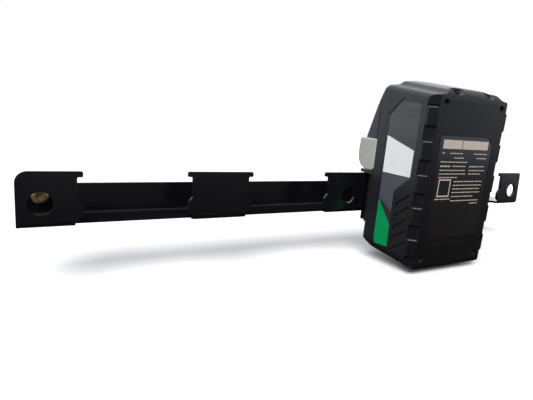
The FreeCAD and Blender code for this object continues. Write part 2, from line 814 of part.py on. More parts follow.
def make_latch_spring(side, name):
    """Wire coil between the seat and the button."""
    wire_r, coil_r, coil_pitch = 0.3, 2.6, 2.3
    end_gap = 0.05
    length = button_inner - seat_outer - 2 * end_gap
    helix = Part.makeHelix(coil_pitch, length - 2 * wire_r, coil_r)
    section = Part.makeCircle(wire_r, Vector(coil_r, 0, 0), Vector(0, 1, 0))
    label = "latch_spring_" + name
    spring = doc.addObject("Part::Feature", label)
    spring.Shape = Part.Wire(helix).makePipeShell([Part.Wire([section])], True, True)
    spring.Placement = Placement(
        Vector(side * (seat_outer + wire_r + end_gap), spring_y, spring_z),
        Rotation(Vector(0, 0, 1), Vector(side, 0, 0)),
    )
    finish(label, spring)


# ================================================================ labels
def make_side_label(side, name):
    """Plate in the side recess, a little thinner than the recess is deep."""
    label = new_body("side_label_" + name)
    tip = pad(label, "label_plate_" + name, "label_sketch_" + name, "YZ_Plane", 0.4,
              loops=[inset(side_label_outline, 0.12)],
              offset=(half_width - side_recess) * side, reverse=(side < 0))
    finish_body(label, tip)


def make_rating_label():
    label = new_body("rating_label")
    outline = [(-27.6, -5.4), (25.6, -5.4), (25.6, 57.9), (20.1, 63.5), (-27.6, 63.5)]
    tip = pad(label, "rating_plate", "rating_sketch", "XZ_Plane", 0.3,
              loops=[outline], offset=front - 0.5)
    finish_body(label, tip)


# ================================================================ case screws
def make_case_screws():
    """Four screws driven from the front, as one piece."""
    backwards = Vector(0, 1, 0)
    screws = []
    for i, (x, z) in enumerate(case_screws):
        head = new_cylinder("case_screw_head_%d" % i, (x, -front + 2.2, z), backwards,
                            radius=2.15, length=2.6)
        shank = new_cylinder("case_screw_shank_%d" % i, (x, -front + 4.0, z), backwards,
                             radius=1.2, length=front - back - 8.0)
        socket = new_cylinder("case_screw_socket_%d" % i, (x, -front + 1.0, z), backwards,
                              radius=1.0, length=2.6)
        screw = doc.addObject("Part::Cut", "case_screw_%d" % i)
        screw.Base = fuse("case_screw_body_%d" % i, [head, shank])
        screw.Tool = socket
        screws.append(screw)
    finish("case_screws", compound("case_screws", screws))


# ================================================================ cells
cell_z = [cells_z + column_pitch * k for k in (-2, -1, 0, 1, 2)]
cell_y = [-cells_y - layer_pitch / 2, -cells_y + layer_pitch / 2]


def make_cells():
    """Ten cells lying along X, the ends swapped from one column to the next."""
    rightwards = Vector(1, 0, 0)
    tip_reach, tip_length = 1.0, 1.2  # the tip is sunk a little into the can
    can_length = cell_length - tip_reach
    number = 0
    for column, z in enumerate(cell_z):
        tip_side = 1 if column % 2 == 0 else -1
        can_x = -can_length / 2 - tip_reach / 2 * tip_side
        tip_x = cell_length / 2 - tip_length if tip_side > 0 else -cell_length / 2
        for y in cell_y:
            number += 1
            can = new_cylinder("can_%02d" % number, (can_x, y, z), rightwards,
                               radius=cell_r - 0.02, length=can_length)
            tip = new_cylinder("tip_%02d" % number, (tip_x, y, z), rightwards,
                               radius=3.2, length=tip_length)
            label = "cell_%02d" % number
            finish(label, fuse(label, [can, tip]))


def make_cell_holder(side, name):
    """Block with ten bores around one half of the cells."""
    holder = new_body("cell_holder_" + name)
    rim_y, rim_z = cell_r + 0.6, cell_r + 0.3
    outline = rectangle(cell_y[0] - rim_y, cell_y[1] + rim_y,
                        cell_z[0] - rim_z, cell_z[4] + rim_z)
    pad(holder, "holder_block_" + name, "holder_outline_" + name, "YZ_Plane", 22.0,
        loops=[outline], offset=side * 9.0, reverse=(side < 0))
    bores = [(y, z, cell_r + 0.1) for z in cell_z for y in cell_y]
    tip = pocket(holder, "holder_bores_" + name, "holder_bores_sketch_" + name, "YZ_Plane",
                 25.0, circles=bores, offset=side * 8.0, reverse=(side > 0))
    finish_body(holder, tip)


def end_plate(label, side, gap, thickness, *limits):
    """Plate across the ends of the cells, a gap away from them; limits are y0, y1, z0, z1."""
    inner = cell_length / 2 + gap
    x0 = inner if side > 0 else -(inner + thickness)
    box_piece(label, x0, x0 + thickness, *limits)


def make_strips_and_insulators():
    # first and last cell column joined by each nickel strip
    strip_columns = {"left": ((0, 0), (1, 2), (3, 4)), "right": ((0, 1), (2, 3), (4, 4))}
    for side, name in SIDES:
        for i, (first, last) in enumerate(strip_columns[name]):
            end_plate("strip_%s_%d" % (name, i + 1), side, 0.0, 0.2,
                      cell_y[0] - 5.5, cell_y[1] + 6.5,
                      cell_z[first] - 5.5, cell_z[last] + 5.5)
        end_plate("insulator_" + name, side, 0.4, 0.5,
                  cell_y[0] - cell_r, cell_y[1] + 6.4, cell_z[0] - 8.6, cell_z[4] + 8.6)


def make_foam_pad():
    """Foam sheet between the cell block and the front wall."""
    box_piece("foam_pad", -28.0, 28.0, -front + 2.4, -front + 3.45, -12.0, 74.0)


def make_temperature_sensor():
    """Small cylinder in the gap between four cells."""
    sensor = new_cylinder("temperature_sensor", (-3.0, -cells_y, cells_z + column_pitch / 2),
                          Vector(1, 0, 0), radius=1.8, length=6.0)
    finish("temperature_sensor", sensor)


# ================================================================ terminals and board
def make_terminal_block():
    block = new_body("terminal_block")
    pad(block, "block", "block_sketch", "XY_Plane", 22.0,
        loops=[rectangle(-20.0, 20.0, -36.4, -26.4)], offset=-5.2)
    slots = [rectangle(x - 2.2, x + 2.2, -6.0, 13.0) for x in slot_x]
    tip = pocket(block, "block_slots", "block_slot_sketch", "XZ_Plane", 9.0,
                 loops=slots, offset=25.4, reverse=True)
    finish_body(block, tip)


def make_contacts(label, slots):
    """Contact pairs, one leg on each side of a slot, joined by a foot in front."""
    low, high = -4.0, 12.6
    inner, outer = 1.2, 1.7  # faces of a leg from the middle of its slot
    pieces = []
    for slot in slots:
        middle = slot_x[slot]
        for side in (-1, 1):
            x0 = middle + (inner if side > 0 else -outer)
            pieces.append(new_box("%s_leg_%d_%d" % (label, slot, side + 1),
                                  x0, x0 + outer - inner, -34.2, -27.0, low, high))
        pieces.append(new_box("%s_foot_%d" % (label, slot),
                              middle - outer, middle + outer, -34.4, -33.9, low, high))
    finish(label, fuse(label, pieces))


def make_circuit_board():
    board_back, board_thickness = 36.5, 1.6  # depth of its back face from the wall
    board = new_body("circuit_board")
    pad(board, "board", "board_sketch", "XZ_Plane", board_thickness,
        loops=[rectangle(-22.0, 22.0, -4.6, 66.0)], offset=board_back)
    tip = pocket(board, "board_holes", "board_holes_sketch", "XZ_Plane", 5.0,
                 circles=[(-18.5, 62.0, 1.4), (18.5, 62.0, 1.4)], offset=35.0, reverse=True)
    finish_body(board, tip)
    # components on the back face: name, x0, x1, z0, z1, height off the board
    for label, x0, x1, z0, z1, height in (
        ("controller_chip", -6.0, 4.0, 24.0, 34.0, 1.4),
        ("power_switch_chip", -17.0, -8.0, 20.0, 30.0, 2.2),
        ("wire_header", 8.0, 14.0, 24.0, 38.0, 4.0),
    ):
        box_piece(label, x0, x1, -board_back, -board_back + height, z0, z1)


# ================================================================ wires
def new_wire(label, points, radius):
    """Round wire along straight runs between points (x, y, z)."""
    points = [Vector(*point) for point in points]
    runs = [Part.makeLine(start, end) for start, end in zip(points[:-1], points[1:])]
    direction = (points[1] - points[0]).normalize()
    section = Part.Wire([Part.makeCircle(radius, points[0], direction)])
    wire = doc.addObject("Part::Feature", label)
    wire.Shape = Part.Wire(runs).makePipeShell([section], True, False, 2)
    return wire


def make_wires():
    lead_r, tap_r = 0.7, 0.35
    # leads from the end strips to the board (x, y, z)
    leads = {
        "lead_positive": [
            (32.6, -46.5, 70.0), (32.6, -42.2, 70.0), (24.0, -42.2, 70.0),
            (20.0, -38.8, 62.0), (20.0, -38.8, 54.0),
        ],
        "lead_negative": [
            (-33.4, -46.4, -7.0), (-33.4, -42.2, -7.0), (-24.0, -42.2, -7.0),
            (-20.0, -38.8, 2.0), (-20.0, -38.8, 10.0),
        ],
    }
    for label, points in leads.items():
        finish(label, new_wire(label, points, lead_r))
    # thin tap wires: side of the pack, height at the strip, height at the board
    taps = []
    for i, (side, strip_z, board_z) in enumerate(
        ((-1, 21.0, 34.0), (1, 2.0, 30.0), (-1, 60.0, 46.0), (1, 41.0, 42.0))
    ):
        end_x = 6.0 - 4.0 * i
        points = [
            (side * 32.6, -46.5, strip_z),
            (side * 32.6, -42.3, strip_z),
            (side * 27.0, -42.3, strip_z),
            (side * 16.0, -39.4, board_z),
            (end_x, -39.4, board_z),
            (end_x, -38.1, board_z),
        ]
        taps.append(new_wire("tap_wire_%d" % (i + 1), points, tap_r))
    finish("sense_wires", compound("sense_wires", taps))


# ================================================================ build
make_rail()
make_mounting_screw()
make_lower_case()
make_upper_case()
for side, name in SIDES:
    make_latch(side, name)
    make_latch_spring(side, name)
    make_side_label(side, name)
    make_cell_holder(side, name)
make_rating_label()
make_case_screws()
make_cells()
make_strips_and_insulators()
make_foam_pad()
make_terminal_block()
make_contacts("power_terminals", (0, 4))
make_contacts("signal_terminals", (1, 2, 3))
make_circuit_board()
make_wires()
make_temperature_sensor()

# ================================================================ checks and export
doc.recompute()
failed = [
    obj.Name for obj in doc.Objects
    if any(word in state for state in obj.State for word in ("Invalid", "Error"))
]
if failed:
    raise RuntimeError("failed objects: %s" % failed)
for label, obj in parts.items():
    if obj.Shape.isNull() or not obj.Shape.isValid() or not obj.Shape.Solids:
        raise RuntimeError("bad shape: %s" % label)

os.makedirs("parts", exist_ok=True)
for label, obj in parts.items():
    obj.Shape.exportStep("parts/%s.step" % label)
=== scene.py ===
# A battery pack on its rail, with the two latches that hold it.
#
# X runs across the pack, -Y is its front face and Z is up. The CAD pieces are in metres.
# The pack is drawn here upright in local millimetres, centred on x = 0; PACK scales it to metres,
# leans its top forward and moves it to its place.
# New pieces: front and back shells, two latches, three labels and two spring coils.
import json
import math
import random
from contextlib import contextmanager

import bmesh
import bpy
from mathutils import Matrix, Vector


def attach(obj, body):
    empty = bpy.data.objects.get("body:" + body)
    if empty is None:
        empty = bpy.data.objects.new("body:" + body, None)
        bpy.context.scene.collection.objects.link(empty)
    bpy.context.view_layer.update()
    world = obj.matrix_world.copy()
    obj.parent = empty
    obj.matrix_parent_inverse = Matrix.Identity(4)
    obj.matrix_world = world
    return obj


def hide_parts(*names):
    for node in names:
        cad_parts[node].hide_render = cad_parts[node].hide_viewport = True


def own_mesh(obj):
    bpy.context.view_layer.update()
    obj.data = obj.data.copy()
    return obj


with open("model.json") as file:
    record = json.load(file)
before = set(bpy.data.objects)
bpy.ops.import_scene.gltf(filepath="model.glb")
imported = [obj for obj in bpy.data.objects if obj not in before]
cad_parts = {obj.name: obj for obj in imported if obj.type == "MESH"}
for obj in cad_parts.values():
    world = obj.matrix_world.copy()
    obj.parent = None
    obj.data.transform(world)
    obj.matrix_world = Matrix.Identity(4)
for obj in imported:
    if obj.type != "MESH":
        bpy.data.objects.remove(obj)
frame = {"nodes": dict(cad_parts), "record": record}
nodes = frame["nodes"]

scene = bpy.context.scene

# ---------------------------------------------------------------- driving dimensions
MM = 0.001
LEAN = math.radians(3.0)
PACK_PLACE = Vector((51.1, 0, -13)) * MM
LEAN_PIVOT = Vector((0, -29, 15)) * MM
PACK = (
    Matrix.Translation(PACK_PLACE)
    @ Matrix.Translation(LEAN_PIVOT)
    @ Matrix.Rotation(LEAN, 4, "X")
    @ Matrix.Translation(-LEAN_PIVOT)
    @ Matrix.Scale(MM, 4)
)

# Pack body, local millimetres
HALF_WIDTH = 39.0
SEAM = -47.6  # y of the plane where the two shells meet
FRONT = -85.5  # y of the front face
TOP, TOP_SLOPE = 99.2, 0.15  # z at the seam, and rise per mm towards +y
BOTTOM, BOTTOM_SLOPE = -25.2, 0.085
WALL = 2.4
SIDE_WALL = 2.3

SIDES = (-1, 1)
SIDE_NAMES = ((-1, "left"), (1, "right"))

# Screw bosses: x, z
BOSSES = [(side * 28.2, z) for side in (1, -1) for z in (84.0, -20.4)]
BOSS_RADIUS = 3.1

# Half outlines of the body's ends: x, z above TOP or BOTTOM
CROWN_HALF = [
    (39.0, -9.2), (38.5, -7.6), (37.3, -6.2), (35.6, -5.4), (33.4, -5.0), (28.4, -4.2),
    (27.0, -3.5), (25.4, -2.1), (24.0, -1.5), (15.0, -0.4), (0.0, 0.0),
]
FOOT_HALF = [(31.0, 0.15), (33.4, 0.7), (35.6, 1.9), (37.4, 3.9), (38.6, 6.4), (39.0, 8.8)]
CROWN = CROWN_HALF + [(-x, z) for x, z in reversed(CROWN_HALF[:-1])]
FOOT = [(-x, z) for x, z in reversed(FOOT_HALF)] + [(0.0, 0.0)] + FOOT_HALF

# Body seen from the side: y, z
BODY_SIDE = [
    (-38.5, -18.0), (-43.9, -22.4), (SEAM, -25.6), (-60, -27.6), (-80.8, -29.3), (-82.7, -28.7),
    (-84.2, -27.4), (-85.1, -25.8), (FRONT, -23.6), (FRONT, 86.0), (-85.2, 88.1), (-84.4, 90.1),
    (-83.1, 91.9), (-81.4, 93.4), (-79.4, 94.6), (-78.0, 100.0), (SEAM, 101.0), (-44.8, 99.9),
    (-38.5, 85.0),
]
# Body seen from above, front corners cut off: x, y
BODY_PLAN = [
    (-HALF_WIDTH, -30), (-HALF_WIDTH, -80.0), (-33.6, FRONT),
    (33.6, FRONT), (HALF_WIDTH, -80.0), (HALF_WIDTH, -30),
]
# Outline of the rating label's recess: x, z
RATING_OUTLINE = [(-27.8, -5.6), (25.8, -5.6), (25.8, 58.0), (20.2, 63.7), (-27.8, 63.7)]
# Outline of a side label's recess: y, z
SIDE_LABEL_OUTLINE = [
    (-49.2, 73.8), (-59.4, 83.9), (-75.4, 82.5), (-76.4, 33.0),
    (-63.0, 22.6), (-63.7, -17.9), (-51.0, -18.8), (-49.2, -15.0),
]


# ---------------------------------------------------------------- solids
def link(obj):
    scene.collection.objects.link(obj)
    return obj


def from_bm(name, bm):
    mesh = bpy.data.meshes.new(name)
    bm.normal_update()
    bm.to_mesh(mesh)
    bm.free()
    return link(bpy.data.objects.new(name, mesh))


@contextmanager
def edited(obj):
    """Gives the object's mesh as a bmesh and writes it back."""
    bm = bmesh.new()
    bm.from_mesh(obj.data)
    yield bm
    bm.to_mesh(obj.data)
    bm.free()


def loft(bm, near, far):
    """Closed skin between two rings of vertices."""
    count = len(near)
    faces = [bm.faces.new(near), bm.faces.new(list(reversed(far)))]
    for i in range(count):
        j = (i + 1) % count
        faces.append(bm.faces.new((near[j], near[i], far[i], far[j])))
    bmesh.ops.recalc_face_normals(bm, faces=faces)
    return faces


def sweep(bm, points, axis, start, end):
    """Polygon in the two other axes, swept along axis."""
    rings = []
    for along in (start, end):
        ring = []
        for point in points:
            place = list(point)
            place.insert("xyz".index(axis), along)
            ring.append(bm.verts.new(place))
        rings.append(ring)
    return loft(bm, *rings)


def prism(points, axis, start, end, name="tool"):
    bm = bmesh.new()
    sweep(bm, points, axis, start, end)
    return from_bm(name, bm)


def rectangle(u0, u1, v0, v1):
    return [(u0, v0), (u1, v0), (u1, v1), (u0, v1)]


def box(x, y, z, side=1):
    """Box from three ranges; side = -1 mirrors it in x."""
    return prism(rectangle(*sorted(side * value for value in x), *y), "z", *z)


def ball(center, radii, segments, rings):
    bm = bmesh.new()
    bmesh.ops.create_uvsphere(bm, u_segments=segments, v_segments=rings, radius=1.0)
    for vert in bm.verts:
        vert.co = Vector([center[i] + vert.co[i] * radii[i] for i in range(3)])
    return from_bm("tool", bm)


def rod(start, end, radius, segments=24):
    start, end = Vector(start), Vector(end)
    run = end - start
    bm = bmesh.new()
    bmesh.ops.create_cone(
        bm, cap_ends=True, segments=segments, radius1=radius, radius2=radius, depth=run.length
    )
    turn = run.to_track_quat("Z", "Y").to_matrix().to_4x4()
    bm.transform(Matrix.Translation((start + end) / 2) @ turn)
    return from_bm("tool", bm)


def y_rod(x, z, y, radius, segments=24):
    return rod((x, y[0], z), (x, y[1], z), radius, segments)


def body_block(y_span, shrink=0.0, name="tool"):
    """The body's end outline swept front to back, with its crown and foot sloping."""
    # x, z at the seam, slope, shift in z
    ring = [(x, TOP + z, TOP_SLOPE, -shrink) for x, z in CROWN]
    ring += [(x, BOTTOM + z, BOTTOM_SLOPE, shrink) for x, z in FOOT]
    bm = bmesh.new()
    ends = []
    for y in y_span:
        end = []
        for x, z, slope, shift in ring:
            inset_x = x - math.copysign(min(shrink, abs(x)), x)
            end.append(bm.verts.new((inset_x, y, z + slope * (y - SEAM) + shift)))
        ends.append(end)
    loft(bm, *ends)
    return from_bm(name, bm)


# ---------------------------------------------------------------- mesh operations
def bake(obj):
    """Applies the modifiers."""
    depsgraph = bpy.context.evaluated_depsgraph_get()
    depsgraph.update()
    mesh = bpy.data.meshes.new_from_object(obj.evaluated_get(depsgraph))
    obj.modifiers.clear()
    old = obj.data
    obj.data = mesh
    bpy.data.meshes.remove(old)


def boolean(obj, tool, operation):
    """Combines obj with the tool, which is used up."""
    modifier = obj.modifiers.new("b", "BOOLEAN")
    modifier.operation = operation
    modifier.solver = "EXACT"
    modifier.object = tool
    bake(obj)
    bpy.data.objects.remove(tool)


def cut(obj, tool):
    boolean(obj, tool, "DIFFERENCE")


def join(obj, tool):
    boolean(obj, tool, "UNION")


def trim(obj, tool):
    boolean(obj, tool, "INTERSECT")


def weld(obj, distance=1e-3):
    """Merges close vertices and dissolves edges within nearly flat faces."""
    with edited(obj) as bm:
        bmesh.ops.remove_doubles(bm, verts=bm.verts[:], dist=distance)
        bmesh.ops.dissolve_limit(
            bm, angle_limit=math.radians(0.6), verts=bm.verts[:], edges=bm.edges[:]
        )
        bmesh.ops.recalc_face_normals(bm, faces=bm.faces[:])


def add_bevel(obj, width, segments, angle):
    modifier = obj.modifiers.new("bev", "BEVEL")
    modifier.width = width
    modifier.segments = segments
    modifier.limit_method = "ANGLE"
    modifier.angle_limit = math.radians(angle)
    modifier.use_clamp_overlap = True


def soften(obj, width, angle, segments=2):
    add_bevel(obj, width, segments, angle)
    bake(obj)


def bevel_bm(bm, edges, width, segments):
    bmesh.ops.bevel(
        bm, geom=edges, offset=width, segments=segments,
        profile=0.5, affect="EDGES", clamp_overlap=True,
    )


def bevel_edges(obj, chosen, width, segments):
    """Rounds the edges for which chosen(edge) holds."""
    with edited(obj) as bm:
        edges = [edge for edge in bm.edges if len(edge.link_faces) == 2 and chosen(edge)]
        bevel_bm(bm, edges, width, segments)


def any_edge(edge):
    return True


def along(axis, longer_than=1):
    """Test for edges that run further than a length along an axis."""
    i = "xyz".index(axis)
    return lambda edge: abs((edge.verts[0].co - edge.verts[1].co)[i]) > longer_than


def below_zero(edge):
    return max(vert.co.z for vert in edge.verts) < 0


def add_weighted_normals(obj, keep_sharp, weight):
    modifier = obj.modifiers.new("wn", "WEIGHTED_NORMAL")
    modifier.keep_sharp = keep_sharp
    modifier.weight = weight


def smooth_faces(obj, smooth=True):
    for face in obj.data.polygons:
        face.use_smooth = smooth


def shade(obj, angle):
    """Smooth shading that stays sharp across edges steeper than angle."""
    smooth_faces(obj)
    with edited(obj) as bm:
        for edge in bm.edges:
            if len(edge.link_faces) == 2:
                edge.smooth = edge.calc_face_angle(0) < math.radians(angle)
    add_weighted_normals(obj, keep_sharp=True, weight=60)


# ---------------------------------------------------------------- shader nodes
def material(name):
    """Gives a new material's node tree and its Principled shader."""
    new = bpy.data.materials.new(name)
    new.use_nodes = True
    return new, new.node_tree, new.node_tree.nodes["Principled BSDF"]


def object_coords(tree, scale=(1.0, 1.0, 1.0)):
    coords = tree.nodes.new("ShaderNodeTexCoord")
    mapping = tree.nodes.new("ShaderNodeMapping")
    mapping.inputs["Scale"].default_value = scale
    tree.links.new(coords.outputs["Object"], mapping.inputs["Vector"])
    return mapping.outputs["Vector"]


def noise(tree, vector, scale, detail, roughness=0.5):
    texture = tree.nodes.new("ShaderNodeTexNoise")
    texture.inputs["Scale"].default_value = scale
    texture.inputs["Detail"].default_value = detail
    texture.inputs["Roughness"].default_value = roughness
    tree.links.new(vector, texture.inputs["Vector"])
    return texture.outputs["Fac"]


def color_ramp(tree, factor, stops):
    """Stops are (position, (red, green, blue)), in order."""
    ramp = tree.nodes.new("ShaderNodeValToRGB")
    elements = ramp.color_ramp.elements
    for element, (position, color) in zip((elements[0], elements[1]), (stops[0], stops[-1])):
        element.position = position
        element.color = (*color, 1.0)
    for position, color in stops[1:-1]:
        elements.new(position).color = (*color, 1.0)
    tree.links.new(factor, ramp.inputs["Fac"])
    return ramp.outputs["Color"]


def map_range(tree, value, target, source=(0.0, 1.0), smooth=False):
    mapper = tree.nodes.new("ShaderNodeMapRange")
    mapper.interpolation_type = "SMOOTHSTEP" if smooth else "LINEAR"
    mapper.inputs["From Min"].default_value = source[0]
    mapper.inputs["From Max"].default_value = source[1]
    mapper.inputs["To Min"].default_value = target[0]
    mapper.inputs["To Max"].default_value = target[1]
    tree.links.new(value, mapper.inputs["Value"])
    return mapper.outputs["Result"]


def mottle(tree, shader, factor, dark, light):
    color = color_ramp(tree, factor, [(0.3, dark), (0.7, light)])
    tree.links.new(color, shader.inputs["Base Color"])


def vary_roughness(tree, shader, factor, limits):
    tree.links.new(map_range(tree, factor, limits), shader.inputs["Roughness"])


def bump(tree, shader, height, strength, distance):
    bumps = tree.nodes.new("ShaderNodeBump")
    bumps.inputs["Strength"].default_value = strength
    bumps.inputs["Distance"].default_value = distance
    tree.links.new(height, bumps.inputs["Height"])
    tree.links.new(bumps.outputs["Normal"], shader.inputs["Normal"])


# ---------------------------------------------------------------- materials
def plastic(name, color, roughness=(0.42, 0.55), grain=2600.0, depth=0.00004,
            variation=0.12, specular=0.5, coat=0.0):
    """Mottled plastic; grain and depth are the scale and metres of its fine bumps."""
    new, tree, shader = material(name)
    coords = object_coords(tree)
    patches = noise(tree, coords, scale=60.0, detail=4.0)
    dark = tuple(c * (1 - variation) for c in color)
    light = tuple(min(1, c * (1 + variation)) for c in color)
    mottle(tree, shader, patches, dark, light)
    vary_roughness(tree, shader, patches, roughness)
    shader.inputs["Specular IOR Level"].default_value = specular
    if coat:
        shader.inputs["Coat Weight"].default_value = coat
        shader.inputs["Coat Roughness"].default_value = 0.12
    if depth:
        fine = noise(tree, coords, scale=grain, detail=2.0, roughness=0.6)
        bump(tree, shader, fine, strength=0.5, distance=depth)
    return new


def metal(name, color, roughness=(0.22, 0.38)):
    """Metal with fine streaks along x."""
    new, tree, shader = material(name)
    streak_coords = object_coords(tree, scale=(40.0, 900.0, 900.0))
    streaks = noise(tree, streak_coords, scale=1.0, detail=3.0, roughness=0.6)
    patches = noise(tree, object_coords(tree), scale=150.0, detail=3.0)
    mottle(tree, shader, patches, tuple(c * 0.8 for c in color), color)
    vary_roughness(tree, shader, streaks, roughness)
    shader.inputs["Metallic"].default_value = 1.0
    bump(tree, shader, streaks, strength=0.3, distance=0.00002)
    return new


def powder_coat(name):
    """Glossy black coat with an orange-peel surface."""
    new, tree, shader = material(name)
    coords = object_coords(tree)
    peel = noise(tree, coords, scale=700.0, detail=2.0)
    patches = noise(tree, coords, scale=25.0, detail=4.0)
    mottle(tree, shader, patches, dark=(0.003, 0.0031, 0.0045), light=(0.005, 0.005, 0.007))
    vary_roughness(tree, shader, patches, (0.16, 0.26))
    shader.inputs["Specular IOR Level"].default_value = 0.42
    shader.inputs["Coat Weight"].default_value = 0.25
    shader.inputs["Coat Roughness"].default_value = 0.1
    bump(tree, shader, peel, strength=0.35, distance=0.00004)
    return new


def floor_pale(name):
    """Pale to the camera; to every other ray a dim warm floor that turns lighter further out:
    painted shade, darkest near the pack, seen in reflections and bounce light.
    """
    new, tree, shader = material(name)
    patches = noise(tree, object_coords(tree), scale=2.0, detail=2.0)
    mottle(tree, shader, patches, dark=(0.93, 0.93, 0.93), light=(0.96, 0.96, 0.96))
    shader.inputs["Roughness"].default_value = 0.9
    shader.inputs["Specular IOR Level"].default_value = 0.0

    dim = tree.nodes.new("ShaderNodeBsdfDiffuse")
    geometry = tree.nodes.new("ShaderNodeNewGeometry")
    distance = tree.nodes.new("ShaderNodeVectorMath")
    distance.operation = "LENGTH"
    tree.links.new(geometry.outputs["Position"], distance.inputs[0])
    far = map_range(tree, distance.outputs["Value"], target=(0.0, 1.0), source=(0.15, 1.35))
    # painted shade on the floor: dark and warm near the pack, lighter further out
    stops = [(0.0, (0.040, 0.031, 0.022)), (0.45, (0.10, 0.10, 0.112)), (1.0, (0.34, 0.355, 0.42))]
    tree.links.new(color_ramp(tree, far, stops), dim.inputs["Color"])

    path = tree.nodes.new("ShaderNodeLightPath")
    mix = tree.nodes.new("ShaderNodeMixShader")
    tree.links.new(path.outputs["Is Camera Ray"], mix.inputs["Fac"])
    tree.links.new(dim.outputs[0], mix.inputs[1])
    tree.links.new(shader.outputs[0], mix.inputs[2])
    tree.links.new(mix.outputs[0], tree.nodes["Material Output"].inputs["Surface"])
    return new


CASE = dict(grain=1500.0, depth=0.000008)
INK = dict(depth=0.0, variation=0.04, coat=0.3)
INK_GLOSS = (0.18, 0.3)
PLASTICS = {
    "case_black": dict(CASE, color=(0.015, 0.0152, 0.0185), roughness=(0.27, 0.34), specular=0.6),
    # darker copy of case_black for the forward faces of the front shell: painted shade
    "case_front_painted_shade": dict(CASE, color=(0.0070, 0.0072, 0.0088), roughness=(0.25, 0.33), specular=0.3),
    "latch_grey": dict(color=(0.42, 0.42, 0.385), roughness=(0.38, 0.5), variation=0.05),
    "cell_wrap": dict(color=(0.05, 0.16, 0.36), roughness=(0.2, 0.32), depth=0.0),
    "holder_plastic": dict(color=(0.5, 0.5, 0.47)),
    "insulating_card": dict(color=(0.62, 0.58, 0.48), roughness=(0.7, 0.85)),
    "foam": dict(color=(0.03, 0.03, 0.03), roughness=(0.8, 0.95), grain=900.0, depth=0.0002),
    "terminal_plastic": dict(color=(0.012, 0.012, 0.012)),
    "board": dict(color=(0.01, 0.12, 0.05), roughness=(0.25, 0.4)),
    "chip": dict(color=(0.012, 0.012, 0.013)),
    "header_plastic": dict(color=(0.6, 0.57, 0.48)),
    "wire_red": dict(color=(0.45, 0.015, 0.015), roughness=(0.4, 0.5)),
    "wire_black": dict(color=(0.015, 0.015, 0.015), roughness=(0.4, 0.5)),
    "wire_thin": dict(color=(0.4, 0.4, 0.4), roughness=(0.4, 0.5)),
    "sensor": dict(color=(0.02, 0.02, 0.02)),
    "side_label": dict(color=(0.034, 0.034, 0.038), roughness=(0.12, 0.2), depth=0.0, coat=0.5),
    "rating_label": dict(color=(0.008, 0.008, 0.009), roughness=(0.10, 0.2), depth=0.0, coat=0.6),
    "ink_white": dict(INK, color=(0.86, 0.87, 0.87), roughness=INK_GLOSS),
    "ink_green": dict(INK, color=(0.0, 0.33, 0.10), roughness=INK_GLOSS),
    "ink_grey": dict(INK, color=(0.085, 0.09, 0.115), roughness=(0.1, 0.16)),
    "ink_dark": dict(INK, color=(0.03, 0.031, 0.036), roughness=INK_GLOSS),
    "ink_beige": dict(INK, color=(0.62, 0.54, 0.46), roughness=(0.4, 0.55)),
}
METALS = {
    "yellow_zinc": dict(color=(0.46, 0.38, 0.17), roughness=(0.3, 0.5)),
    "screw_steel": dict(color=(0.12, 0.12, 0.125)),
    "spring_steel": dict(color=(0.5, 0.5, 0.52)),
    "nickel": dict(color=(0.62, 0.6, 0.55)),
    "contact_metal": dict(color=(0.72, 0.6, 0.35)),
}
MATERIALS = {"rail_coat": powder_coat("rail_coat")}
MATERIALS.update({name: plastic(name, **look) for name, look in PLASTICS.items()})
MATERIALS.update({name: metal(name, **look) for name, look in METALS.items()})


def paint(obj, *names):
    """Fills the material slots, keeping each face's slot number where it exists."""
    indices = [face.material_index for face in obj.data.polygons]
    obj.data.materials.clear()
    for name in names:
        obj.data.materials.append(MATERIALS[name])
    for face, index in zip(obj.data.polygons, indices):
        face.material_index = index if index < len(names) else 0


def register(obj, body, replaced):
    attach(obj, body)
    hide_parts(replaced)


def place_in_pack(obj, body, replaced):
    obj.data.transform(PACK)
    obj.data.update()
    register(obj, body, replaced)


# ---------------------------------------------------------------- CAD pieces
FINE_EDGED = (
    "cell_holder_left", "cell_holder_right", "circuit_board", "terminal_block",
    "wire_header", "controller_chip", "power_switch_chip",
)


def paint_cad_pieces():
    slots = {part["node"]: part["material_slot"] for part in frame["record"]["subparts"]}
    for name, obj in nodes.items():
        paint(obj, slots[name])
        smooth_faces(obj, False)


def soften_cad_piece(name, width, segments):
    obj = nodes[name]
    obj.modifiers.new("weld", "WELD").merge_threshold = 1e-6
    add_bevel(obj, width * MM, segments, angle=30.0)
    add_weighted_normals(obj, keep_sharp=False, weight=80)
    smooth_faces(obj)


# ---------------------------------------------------------------- pack body
def full_body():
    body = body_block((-96.0, -30.0), name="body")
    trim(body, prism(BODY_SIDE, "x", -60, 60))
    trim(body, prism(BODY_PLAN, "z", -60, 130))
    weld(body)
    soften(body, width=0.9, angle=24.0)
    return body


def half_body(body, name, keep_front):
    """One side of the seam, closed there and with its rim rounded."""
    half = body.copy()
    half.data = body.data.copy()
    half.name = name
    link(half)
    with edited(half) as bm:
        bmesh.ops.bisect_plane(
            bm, geom=bm.verts[:] + bm.edges[:] + bm.faces[:],
            plane_co=(0, SEAM, 0), plane_no=(0, 1, 0),
            clear_outer=keep_front, clear_inner=not keep_front,
        )
        open_edges = [edge for edge in bm.edges if edge.is_boundary]
        bmesh.ops.holes_fill(bm, edges=open_edges, sides=0)
        bmesh.ops.recalc_face_normals(bm, faces=bm.faces[:])
        rim = [e for e in bm.edges if all(abs(v.co.y - SEAM) < 1e-3 for v in e.verts)]
        bevel_bm(bm, rim, width=0.42, segments=2)
    return half


